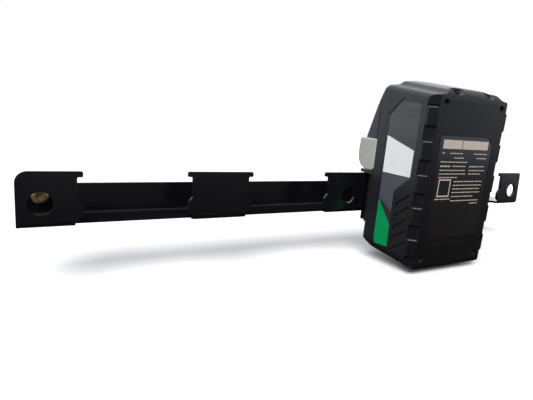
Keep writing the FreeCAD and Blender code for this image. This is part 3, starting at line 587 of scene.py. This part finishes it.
# ---------------------------------------------------------------- front shell
def hollow_front(shell):
    front, back = FRONT + WALL, -40.0
    inner_x = HALF_WIDTH - SIDE_WALL
    cavity = body_block((front, back), shrink=WALL)
    trim(cavity, prism([(front, -20.5), (front, 86.0), (back, 86.0), (back, -20.5)], "x", -60, 60))
    plan = [
        (-inner_x, -30), (-inner_x, -79.3), (-32.8, front),
        (32.8, front), (inner_x, -79.3), (inner_x, -30),
    ]
    trim(cavity, prism(plan, "z", -60, 130))
    cut(shell, cavity)


def add_front_bosses(shell):
    for x, z in BOSSES:
        join(shell, y_rod(x, z, y=(-84.5, SEAM - 1.0), radius=BOSS_RADIUS))
        cut(shell, y_rod(x, z, y=(-90, -40), radius=1.65))
        # wider recess for the screw head
        cut(shell, y_rod(x, z, y=(-92, -80.5), radius=2.3, segments=32))


def cut_label_recesses(shell):
    recess = prism(RATING_OUTLINE, "y", -90.0, -84.95)
    bevel_edges(recess, along("y"), width=1.0, segments=3)
    cut(shell, recess)
    for side in SIDES:
        recess = prism(SIDE_LABEL_OUTLINE, "x", side * 38.5, side * 44.0)
        bevel_edges(recess, along("x"), width=0.9, segments=3)
        cut(shell, recess)
        cut_side_grooves(shell, side)


def cut_side_grooves(shell, side):
    """Five slanted grooves, and a fine line from the label's upper corner to the seam."""
    front, back = -77.4, -66.1
    for i in range(5):
        z = 16.5 - 8.2 * i
        outline = [(front, z + 6.9), (front, z + 4.7), (back, z - 3.7), (back, z - 1.5)]
        groove = prism(outline, "x", side * 38.15, side * 42.0)
        bevel_edges(groove, along("x"), width=0.7, segments=2)
        cut(shell, groove)
    fine_line = [(-60.6, 85.4), (-59.9, 86.0), (-46.0, 73.0), (-46.0, 71.9)]
    cut(shell, prism(fine_line, "x", side * 38.55, side * 42.0))


def cut_end_notches(shell):
    """Two scoops in the top end and two in the bottom end."""
    for side in SIDES:
        cut(shell, y_rod(side * 16.4, 95.2, y=(-92.0, -78.5), radius=6.2, segments=48))
        scoop = ball((side * 20.0, -79.0, -32.2), radii=(4.2, 9.0, 4.4), segments=32, rings=18)
        cut(shell, scoop)


def add_corner_grips(shell):
    """A channel down each cut-off front corner, with five raised pads in it."""
    pad_pitch, pad_height = 21.85, 12.6
    for side in SIDES:
        turn = Matrix.Rotation(math.radians(45 * side), 4, "Z")
        corner = Matrix.Translation((side * 36.3, -82.7, 0)) @ turn
        channel = box(x=(-3.3, 3.3), y=(-4.75, 0.75), z=(-19.4, 82.4))
        channel.data.transform(corner)
        bevel_edges(channel, any_edge, width=0.6, segments=2)
        cut(shell, channel)
        for i in range(5):
            z = -18.9 + pad_pitch * i
            pad = box(x=(-3.55, 3.55), y=(-1.15, 3.0), z=(z, z + pad_height))
            bevel_edges(pad, any_edge, width=0.95, segments=3)
            pad.data.transform(corner)
            join(shell, pad)


def add_front_bars(shell):
    """Two blank raised bars on the front face."""
    for x, z in (((-3.2, 9.5), (72.8, 75.4)), ((-19.0, 20.0), (-12.6, -10.0))):
        bar = box(x=x, y=(-85.72, -84.0), z=z)
        bevel_edges(bar, along("y"), width=0.5, segments=2)
        join(shell, bar)


def finish_front_shell(shell):
    hollow_front(shell)
    add_front_bosses(shell)
    cut_label_recesses(shell)
    cut_end_notches(shell)
    add_corner_grips(shell)
    add_front_bars(shell)
    weld(shell, 2e-3)
    soften(shell, width=0.34, angle=38.0)
    shade(shell, 44.0)
    # faces that look forward take the second material, a darker copy of the case plastic: painted
    # shade on the front face
    for face in shell.data.polygons:
        face.material_index = 1 if face.normal.y < -0.60 else 0
    paint(shell, "case_black", "case_front_painted_shade")


# ---------------------------------------------------------------- back shell
# Hump seen from the side: y, z
HUMP_SIDE = [
    (-44.5, 30.1), (-22.9, 30.1), (-22.9, 53.2), (-25.6, 57.6),
    (-34.9, 80.4), (-39.0, 88.0), (-44.5, 96.4),
]
# Hump seen from above: x, y
HUMP_PLAN = [(-38.5, -50), (-38.5, -39.1), (-35.6, -22.4), (35.6, -22.4), (38.5, -39.1), (38.5, -50)]
HUMP_HOLLOW_SIDE = [
    (-41.3, 32.3), (-25.1, 32.3), (-25.1, 52.2), (-29.3, 56.8), (-38.6, 79.0), (-41.3, 79.0),
]
# Tower seen from above, with a flange on each side at its back: x, y
TOWER_PLAN = [
    (-28.7, -39), (28.7, -39), (28.7, -26.9), (31.6, -26.9),
    (31.6, -24.0), (-31.6, -24.0), (-31.6, -26.9), (-28.7, -26.9),
]
TOWER_Z = (-7.6, 31.0)
HOLLOW_X = 26.5  # half width of the hollows in hump and tower


def add_hump(shell):
    hump = prism(HUMP_SIDE, "x", -38.5, 38.5)
    trim(hump, prism(HUMP_PLAN, "z", 0, 130))
    trim(hump, body_block((-60.0, -20.0)))
    weld(hump)
    soften(hump, width=1.7, angle=14.0, segments=4)
    join(shell, hump)


def add_tower(shell):
    """The tower below the hump, on its wider plinth."""
    upright = along("z", longer_than=5)
    plinth = prism([(-35.0, -40.0), (35.0, -40.0), (35.0, -31.1), (-35.0, -31.1)], "z", *TOWER_Z)
    bevel_edges(plinth, lambda e: below_zero(e) or upright(e), width=1.6, segments=3)
    join(shell, plinth)

    def at_back(edge):
        return abs(edge.verts[0].co.y + 24.0) < 0.1

    tower = prism(TOWER_PLAN, "z", *TOWER_Z)
    bevel_edges(
        tower, lambda e: below_zero(e) or (upright(e) and at_back(e)), width=0.9, segments=3
    )
    join(shell, tower)


def hollow_back(shell):
    front, back = -60.0, -40.8
    cavity = body_block((front, back), shrink=WALL)
    trim(cavity, prism([(front, -18.8), (front, 83.5), (back, 83.5), (back, -18.8)], "x", -60, 60))
    cut(shell, cavity)
    cut(shell, prism(HUMP_HOLLOW_SIDE, "x", -HOLLOW_X, HOLLOW_X))
    cut(shell, box(x=(-HOLLOW_X, HOLLOW_X), y=(-41.3, -26.2), z=(-5.4, 32.4)))


def cut_latch_openings(shell):
    for side in SIDES:
        # pocket for the button, opening behind it, slot for the tooth
        cut(shell, box(x=(28.0, 44.0), y=(-40.0, -20.0), z=(32.5, 56.6), side=side))
        cut(shell, box(x=(20.0, 30.0), y=(-35.0, -26.0), z=(35.0, 54.0), side=side))
        cut(shell, box(x=(24.0, 29.5), y=(-31.0, -27.0), z=(16.0, 26.4), side=side))


def cut_tower_slots(shell):
    pitch, half_width = 7.0, 1.1
    for i in (-2, -1, 0, 1, 2):
        x = (pitch * i - half_width, pitch * i + half_width)
        cut(shell, box(x=x, y=(-31.5, -23.0), z=(-9.0, 12.0)))


def add_back_bosses(shell):
    for x, z in BOSSES:
        join(shell, y_rod(x, z, y=(-46.5, -39.5), radius=BOSS_RADIUS))
        cut(shell, y_rod(x, z, y=(SEAM - 1.0, -40.4), radius=1.25))


def finish_back_shell(shell):
    add_hump(shell)
    add_tower(shell)
    hollow_back(shell)
    cut_latch_openings(shell)
    cut_tower_slots(shell)
    add_back_bosses(shell)
    # seats for the inner ends of the latch springs
    for side in SIDES:
        join(shell, box(x=(15.0, 17.0), y=(-36.3, -24.6), z=(41.0, 51.0), side=side))
    # shallow upright line in each side
    for side in SIDES:
        outline = [(-39.5, 30.0), (-39.0, 30.0), (-39.0, 84.2), (-39.5, 84.8)]
        cut(shell, prism(outline, "x", side * 38.1, side * 42.0))
    weld(shell, 2e-3)
    soften(shell, width=0.28, angle=38.0)
    shade(shell, 40.0)
    paint(shell, "case_black")


def build_shells():
    body = full_body()
    front = half_body(body, "front_shell", keep_front=True)
    back = half_body(body, "back_shell", keep_front=False)
    bpy.data.objects.remove(body)
    finish_front_shell(front)
    finish_back_shell(back)
    place_in_pack(front, "battery_pack", "lower_case")
    place_in_pack(back, "battery_pack", "upper_case")


# ---------------------------------------------------------------- latches
# Button seen from the side: y, z
BUTTON_SIDE = [
    (-39.7, 35.2), (-37.4, 32.8), (-30.4, 32.8), (-24.6, 35.4), (-21.6, 39.4),
    (-20.7, 44.0), (-20.8, 50.5), (-21.6, 56.3), (-39.7, 56.3),
]
# Limits of the button seen from above, right side: x, y
BUTTON_PLAN = [(39.3, -41.0), (30.0, -41.0), (30.0, -20.0), (38.7, -20.0)]
# Tooth at the arm's lower end, right side: x, z
TOOTH = [(25.8, 17.0), (27.2, 17.0), (29.1, 21.5), (29.1, 25.6), (25.8, 25.6)]
ARM_Y = (-30.6, -27.4)


def mirrored(points, side):
    return [(side * x, other) for x, other in points]


def build_latch(side, side_name):
    """A dished button with an arm that hangs inside the shell and ends in a tooth."""
    latch = prism(
        BUTTON_SIDE, "x", side * 31.4, side * 39.4, name="latch_%s_piece" % side_name
    )
    trim(latch, prism(mirrored(BUTTON_PLAN, side), "z", 20, 70))
    weld(latch)
    bevel_edges(
        latch, lambda e: min(side * v.co.x for v in e.verts) > 34.0, width=1.3, segments=5
    )
    # finger dish in the outer face
    cut(latch, ball((side * 69.0, -30.2, 44.5), radii=(30.2, 26.0, 30.0), segments=64, rings=40))
    join(latch, box(x=(23.2, 31.8), y=ARM_Y, z=(37.0, 42.0), side=side))
    join(latch, box(x=(23.2, 26.0), y=ARM_Y, z=(17.0, 42.0), side=side))
    join(latch, prism(mirrored(TOOTH, side), "y", *ARM_Y))
    # peg on the inner face
    join(latch, rod((side * 31.8, -30.6, 47.5), (side * 27.1, -30.6, 47.5), radius=1.7))
    weld(latch, 2e-3)
    soften(latch, width=0.22, angle=40.0)
    shade(latch, 35.0)
    paint(latch, "latch_grey")
    place_in_pack(latch, "%s_latch" % side_name, "latch_%s" % side_name)


# ---------------------------------------------------------------- labels
# Bands on a side label: material slot, thickness, outline in y, z
SIDE_BANDS = [
    (1, 0.03, [(-49.6, 34.2), (-49.6, 60.0), (-74.9, 52.0), (-74.9, 34.2)]),
    (3, 0.02, [(-49.6, 33.6), (-75.0, 33.6), (-62.7, 23.2), (-62.7, 8.4), (-49.6, 15.4)]),
    (2, 0.03, [(-49.6, 14.6), (-63.0, -1.6), (-63.2, -17.4), (-51.2, -18.2), (-49.6, -14.8)]),
    (4, 0.02, rectangle(-74.4, -61.0, 76.8, 78.0)),
    (4, 0.02, rectangle(-74.6, -58.6, 73.6, 74.2)),
]
SIDE_LABEL_FACE = 38.9  # distance of the outer face from x = 0
RATING_FACE = -85.3  # y of the rating label's outer face

# Solid blocks at the top of the rating label, then the four bars of a square frame:
# x from, x to, z from, z to
RATING_BLOCKS = [(-24.5, -5.9, 55.2, 61.0), (-5.3, 21.3, 55.2, 61.0)]
RATING_FRAME = [
    (-23.2, -11.2, 34.0, 34.9), (-23.2, -11.2, 22.9, 23.8),
    (-23.2, -22.3, 23.8, 34.0), (-12.1, -11.2, 23.8, 34.0),
]
# Rows of dashes on the rating label: x from, x to, z
RATING_ROWS = [
    (-24.3, -20.5, 52.0), (-16.5, -4.0, 52.0), (7.5, 21.5, 52.0), (-12.0, -2.0, 49.0),
    (11.0, 21.5, 49.0), (-24.5, 3.5, 46.2), (-24.3, -13.5, 43.2), (-12.5, 1.0, 43.4),
    (5.0, 14.0, 43.2), (15.0, 21.8, 43.4), (-24.3, 2.4, 40.6), (5.0, 21.8, 40.6),
    (-24.3, 2.0, 38.2), (5.0, 18.0, 38.2), (-24.3, -6.0, 35.8), (-8.5, 13.0, 33.0),
    (14.0, 21.6, 33.0), (-8.5, 21.0, 30.4), (-8.5, 20.0, 27.9), (-8.5, 21.0, 25.4),
    (-8.5, 14.0, 22.6), (-8.5, 20.6, 19.6), (-24.4, -9.5, 21.0), (12.0, 21.4, 17.4),
]
DASH_HEIGHT = 0.62
TALL_ROW_Z, TALL_DASH_HEIGHT = 43.2, 0.85


def inset(points, distance):
    """Moves every side of a polygon inwards by distance."""
    pairs = list(zip(points, points[1:] + points[:1]))
    area = sum(p[0] * q[1] - q[0] * p[1] for p, q in pairs)
    turn = 1.0 if area > 0 else -1.0

    def normal(p, q):
        length = math.hypot(q[0] - p[0], q[1] - p[1])
        return (-(q[1] - p[1]) / length * turn, (q[0] - p[0]) / length * turn)

    result = []
    for i, (point, after) in enumerate(pairs):
        n1 = normal(points[i - 1], point)
        n2 = normal(point, after)
        k = distance / (1 + n1[0] * n2[0] + n1[1] * n2[1])
        result.append((point[0] + (n1[0] + n2[0]) * k, point[1] + (n1[1] + n2[1]) * k))
    return result


def print_patch(bm, points, axis, face, thickness, slot):
    """Thin printed patch standing on the label's face; thickness is signed."""
    for patch_face in sweep(bm, points, axis, face, face + thickness):
        patch_face.material_index = slot


def build_side_label(side, side_name):
    face = side * SIDE_LABEL_FACE
    label = prism(
        inset(SIDE_LABEL_OUTLINE, 0.12), "x", side * 38.5, face,
        name="side_label_%s_face" % side_name,
    )
    bevel_edges(label, along("x", longer_than=0.2), width=0.8, segments=3)
    with edited(label) as bm:
        for slot, thickness, outline in SIDE_BANDS:
            print_patch(bm, outline, "x", face, side * thickness, slot)
    paint(label, "side_label", "ink_white", "ink_green", "ink_grey", "ink_dark")
    place_in_pack(label, "battery_pack", "side_label_%s" % side_name)


def rating_dashes():
    """Splits each row into dashes of random length."""
    rng = random.Random(7)
    shortest, longest, gap = 1.6, 4.6, 0.55
    dashes = []
    for x, end, z in RATING_ROWS:
        height = TALL_DASH_HEIGHT if z == TALL_ROW_Z else DASH_HEIGHT
        while x < end - 0.8:
            length = min(rng.uniform(shortest, longest), end - x)
            dashes.append((x, x + length, z, z + height))
            x += length + gap
    return dashes


def build_rating_label():
    outline = inset(RATING_OUTLINE, 0.2)
    label = prism(outline, "y", RATING_FACE, -85.0, name="rating_label_face")
    bevel_edges(label, along("y", longer_than=0.2), width=0.9, segments=3)
    with edited(label) as bm:
        for bar in RATING_BLOCKS + rating_dashes() + RATING_FRAME:
            print_patch(bm, rectangle(*bar), "y", RATING_FACE, thickness=-0.02, slot=1)
    paint(label, "rating_label", "ink_beige")
    place_in_pack(label, "battery_pack", "rating_label")


def build_spring(side_name):
    """A copy of the CAD coil in spring steel, attached to the pack in place of the CAD spring."""
    name = "latch_spring_%s" % side_name
    source = nodes[name]
    coil = link(bpy.data.objects.new(name + "_coil", source.data.copy()))
    coil.matrix_world = source.matrix_world.copy()
    smooth_faces(coil)
    paint(coil, "spring_steel")
    register(coil, "battery_pack", name)
    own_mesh(coil)


# ---------------------------------------------------------------- stage, light, camera (metres)
FLOOR_Z = -0.0475


def build_floor():
    bm = bmesh.new()
    bmesh.ops.create_grid(bm, x_segments=2, y_segments=2, size=6.0)
    floor = from_bm("floor", bm)
    floor.location = (0, 0, FLOOR_Z)
    MATERIALS["floor_pale"] = floor_pale("floor_pale")
    paint(floor, "floor_pale")


# Strengths of the room's lit parts
BACK_WALL, CEILING, LEFT_WINDOW, RIGHT_WALL = 0.85, 0.5, 0.35, 0.75
LOW_GLOW, BASE_GLOW = 0.03, 0.03


def build_world():
    """White to the camera; to other rays a room, bright behind the pack and dim before it."""
    world = bpy.data.worlds.new("studio")
    scene.world = world
    world.use_nodes = True
    tree = world.node_tree
    tree.nodes.clear()

    def combine(operation, first, second):
        node = tree.nodes.new("ShaderNodeMath")
        node.operation = operation
        tree.links.new(first, node.inputs[0])
        if isinstance(second, float):
            node.inputs[1].default_value = second
        else:
            tree.links.new(second, node.inputs[1])
        return node.outputs[0]

    def fade(value, source, target):
        return map_range(tree, value, target, source, smooth=True)

    output = tree.nodes.new("ShaderNodeOutputWorld")
    mix = tree.nodes.new("ShaderNodeMixShader")
    path = tree.nodes.new("ShaderNodeLightPath")
    seen = tree.nodes.new("ShaderNodeBackground")
    seen.inputs["Color"].default_value = (1, 1, 1, 1)
    room = tree.nodes.new("ShaderNodeBackground")
    coords = tree.nodes.new("ShaderNodeTexCoord")
    separate = tree.nodes.new("ShaderNodeSeparateXYZ")
    tree.links.new(coords.outputs["Generated"], separate.inputs["Vector"])
    x, y, z = (separate.outputs[axis] for axis in "XYZ")

    # each part fades in over a range of view direction
    back = combine(
        "MULTIPLY", fade(y, (0.05, 0.75), (0.0, BACK_WALL)), fade(z, (-0.15, 0.05), (0.25, 1.0))
    )
    ceiling = fade(z, (0.35, 0.95), (0.0, CEILING))
    left = combine(
        "MULTIPLY", fade(x, (-0.55, -0.95), (0.0, LEFT_WINDOW)), fade(z, (-0.1, 0.35), (0.15, 1.0))
    )
    low = fade(z, (0.0, -0.5), (0.0, LOW_GLOW))
    right = combine(
        "MULTIPLY", fade(x, (0.5, 0.85), (0.0, RIGHT_WALL)), fade(z, (-0.24, 0.04), (0.12, 1.0))
    )
    sides = combine("ADD", combine("ADD", left, low), right)
    lit = combine("ADD", combine("ADD", back, ceiling), sides)
    tree.links.new(combine("ADD", lit, BASE_GLOW), room.inputs["Strength"])

    # warm below the horizon, cool above
    tint = tree.nodes.new("ShaderNodeMix")
    tint.data_type = "RGBA"
    tree.links.new(fade(z, (-0.35, -0.05), (0.0, 1.0)), tint.inputs["Factor"])
    tint.inputs[6].default_value = (1.0, 0.88, 0.76, 1)
    tint.inputs[7].default_value = (0.93, 0.96, 1.0, 1)
    tree.links.new(tint.outputs[2], room.inputs["Color"])

    tree.links.new(path.outputs["Is Camera Ray"], mix.inputs["Fac"])
    tree.links.new(room.outputs[0], mix.inputs[1])
    tree.links.new(seen.outputs[0], mix.inputs[2])
    tree.links.new(mix.outputs[0], output.inputs["Surface"])


def build_sun():
    towards_sun = Vector((-0.50, -0.52, 0.69))
    light = bpy.data.lights.new("sun", "SUN")
    light.energy = 3.6
    light.angle = math.radians(42)
    sun = link(bpy.data.objects.new("sun", light))
    sun.rotation_euler = towards_sun.to_track_quat("Z", "Y").to_euler()


def build_camera():
    place = Vector((-0.20383, -0.27272, 0.04419))
    yaw, pitch, roll = (math.radians(angle) for angle in (28.934, -9.409, 3.306))
    lens = bpy.data.cameras.new("cam")
    camera = link(bpy.data.objects.new("cam", lens))
    forward = Vector((
        math.sin(yaw) * math.cos(pitch), math.cos(yaw) * math.cos(pitch), math.sin(pitch)
    ))
    level_right = forward.cross(Vector((0, 0, 1))).normalized()
    level_up = level_right.cross(forward)
    right = math.cos(roll) * level_right + math.sin(roll) * level_up
    up = -math.sin(roll) * level_right + math.cos(roll) * level_up
    turn = Matrix((right, up, -forward)).transposed()
    camera.matrix_world = Matrix.Translation(place) @ turn.to_4x4()
    lens.sensor_fit = "HORIZONTAL"
    lens.sensor_width = 36.0
    lens.lens = 28.3001876
    lens.clip_start = 0.01
    lens.clip_end = 50.0
    scene.camera = camera
    scene.view_settings.view_transform = "Standard"
    scene.view_settings.look = "None"


# ---------------------------------------------------------------- build
paint_cad_pieces()
soften_cad_piece("rail_channel", width=0.3, segments=3)
for piece in FINE_EDGED:
    soften_cad_piece(piece, width=0.12, segments=2)
build_shells()
for side, side_name in SIDE_NAMES:
    build_latch(side, side_name)
for side, side_name in SIDE_NAMES:
    build_side_label(side, side_name)
build_rating_label()
build_spring("left")
build_spring("right")
build_floor()
build_world()
build_sun()
build_camera()
